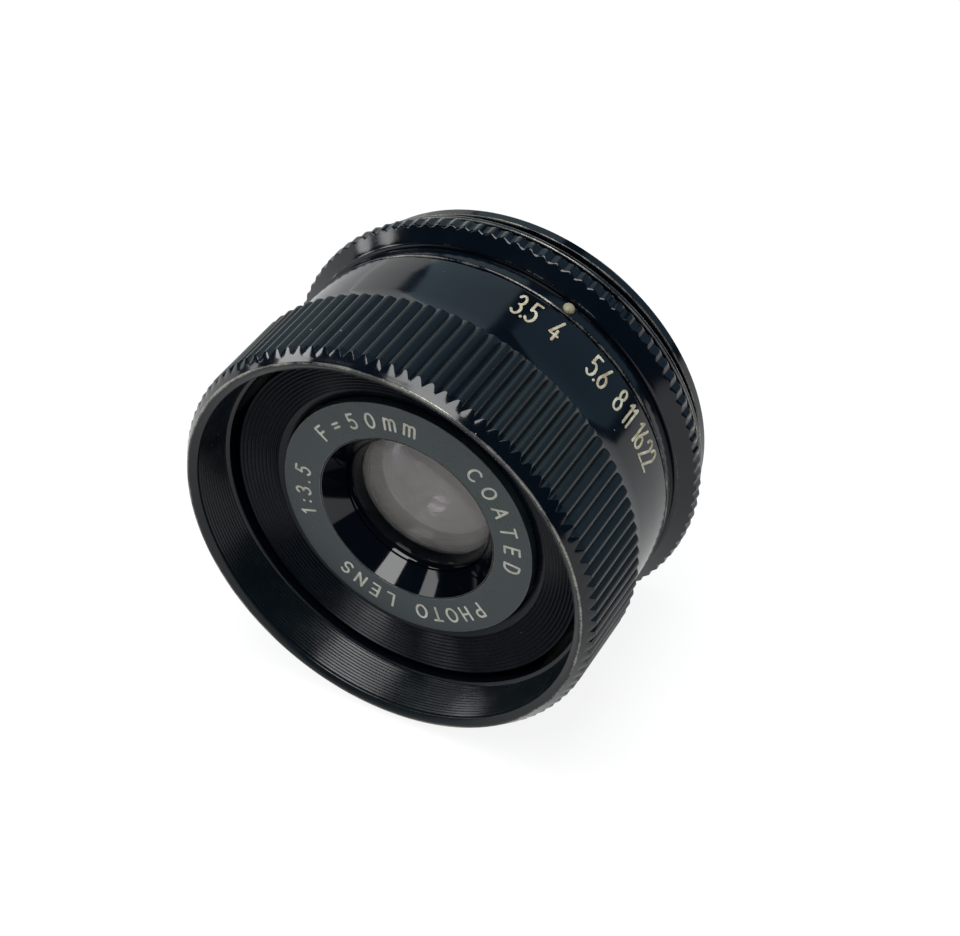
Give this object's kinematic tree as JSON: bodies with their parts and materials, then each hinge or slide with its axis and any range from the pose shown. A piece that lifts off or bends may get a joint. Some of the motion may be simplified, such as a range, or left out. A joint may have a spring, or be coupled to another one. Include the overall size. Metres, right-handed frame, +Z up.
{
  "type": "enlarger lens",
  "caption": "Short black photographic enlarger lens with a knurled aperture ring, engraved scale, iris diaphragm and screw mount with a jam nut.",
  "frame": {"origin": "on the optical axis, midway between the front rim and the end of the mount thread, which is the centre of the bounding box", "axes": "-Y is the optical axis towards the front glass, +Y towards the mount thread, +Z is up with the lens lying on its side, +X is to the right seen from the front"},
  "size_m": [0.0466, 0.0318, 0.0466],
  "materials": {
    "black_anodised": "semi-gloss black anodising, worn on the edges",
    "matt_black": "matt black anodising with fine turned grooves",
    "engraved_face": "satin dark grey anodising with filled engraving",
    "gloss_black": "glossy black",
    "coated_glass": "polished, faint coating colour",
    "ivory_fill": "glossy ivory",
    "blade_steel": "blackened spring steel",
    "bright_steel": "plain turned steel",
    "brass": "plain turned brass"
  },
  "bodies": {
    "barrel": {"main_barrel": "black_anodised", "index_bead": "ivory_fill", "front_housing": "matt_black", "name_ring": "engraved_face", "front_cell": "gloss_black", "front_bezel_ring": "gloss_black", "front_element": "coated_glass", "element_spacer": "matt_black", "middle_element": "coated_glass", "rear_cell": "matt_black", "rear_element": "coated_glass", "rear_retainer": "matt_black", "iris_housing": "matt_black", "iris_snap_ring": "bright_steel"},
    "aperture_control": {"aperture_ring": "black_anodised", "drive_screw": "bright_steel", "iris_drive_ring": "brass"},
    "seat_washer": {"seat_washer": "black_anodised"},
    "jam_nut": {"jam_nut": "black_anodised"},
    "iris_blade_1": {"iris_blade_1": "blade_steel"},
    "iris_blade_2": {"iris_blade_2": "blade_steel"},
    "iris_blade_3": {"iris_blade_3": "blade_steel"},
    "iris_blade_4": {"iris_blade_4": "blade_steel"},
    "iris_blade_5": {"iris_blade_5": "blade_steel"},
    "iris_blade_6": {"iris_blade_6": "blade_steel"}
  },
  "joints": [
    {"name": "aperture_turn", "type": "hinge", "parent": "barrel", "child": "aperture_control", "pos_m": [0, 0, 0], "axis": [0, -1, 0], "range_deg": [-9.2, 40.3]},
    {"name": "blade_1_swing", "type": "hinge", "parent": "barrel", "child": "iris_blade_1", "pos_m": [0.0127, 0.00205, 0], "axis": [0, -1, 0], "range_deg": [-4.4, 19.25]},
    {"name": "blade_2_swing", "type": "hinge", "parent": "barrel", "child": "iris_blade_2", "pos_m": [0.00635, 0.00205, 0.011], "axis": [0, -1, 0], "range_deg": [-4.4, 19.25]},
    {"name": "blade_3_swing", "type": "hinge", "parent": "barrel", "child": "iris_blade_3", "pos_m": [-0.00635, 0.00205, 0.011], "axis": [0, -1, 0], "range_deg": [-4.4, 19.25]},
    {"name": "blade_4_swing", "type": "hinge", "parent": "barrel", "child": "iris_blade_4", "pos_m": [-0.0127, 0.00205, 0], "axis": [0, -1, 0], "range_deg": [-4.4, 19.25]},
    {"name": "blade_5_swing", "type": "hinge", "parent": "barrel", "child": "iris_blade_5", "pos_m": [-0.00635, 0.00205, -0.011], "axis": [0, -1, 0], "range_deg": [-4.4, 19.25]},
    {"name": "blade_6_swing", "type": "hinge", "parent": "barrel", "child": "iris_blade_6", "pos_m": [0.00635, 0.00205, -0.011], "axis": [0, -1, 0], "range_deg": [-4.4, 19.25]},
    {"name": "washer_slide", "type": "slide", "parent": "barrel", "child": "seat_washer", "axis": [0, 1, 0], "range_m": [0, 0.0023]},
    {"name": "nut_turn", "type": "hinge", "parent": "seat_washer", "child": "jam_nut", "pos_m": [0, 0.0119, 0], "axis": [0, 1, 0], "range_deg": [0, 810]}
  ],
  "couplings": [
    {"joint": "blade_1_swing", "follows": "aperture_turn", "ratio": 0.47731},
    {"joint": "blade_2_swing", "follows": "aperture_turn", "ratio": 0.47731},
    {"joint": "blade_3_swing", "follows": "aperture_turn", "ratio": 0.47731},
    {"joint": "blade_4_swing", "follows": "aperture_turn", "ratio": 0.47731},
    {"joint": "blade_5_swing", "follows": "aperture_turn", "ratio": 0.47731},
    {"joint": "blade_6_swing", "follows": "aperture_turn", "ratio": 0.47731},
    {"joint": "washer_slide", "follows": "nut_turn", "m_per_rad": 0.00015548}
  ]
}
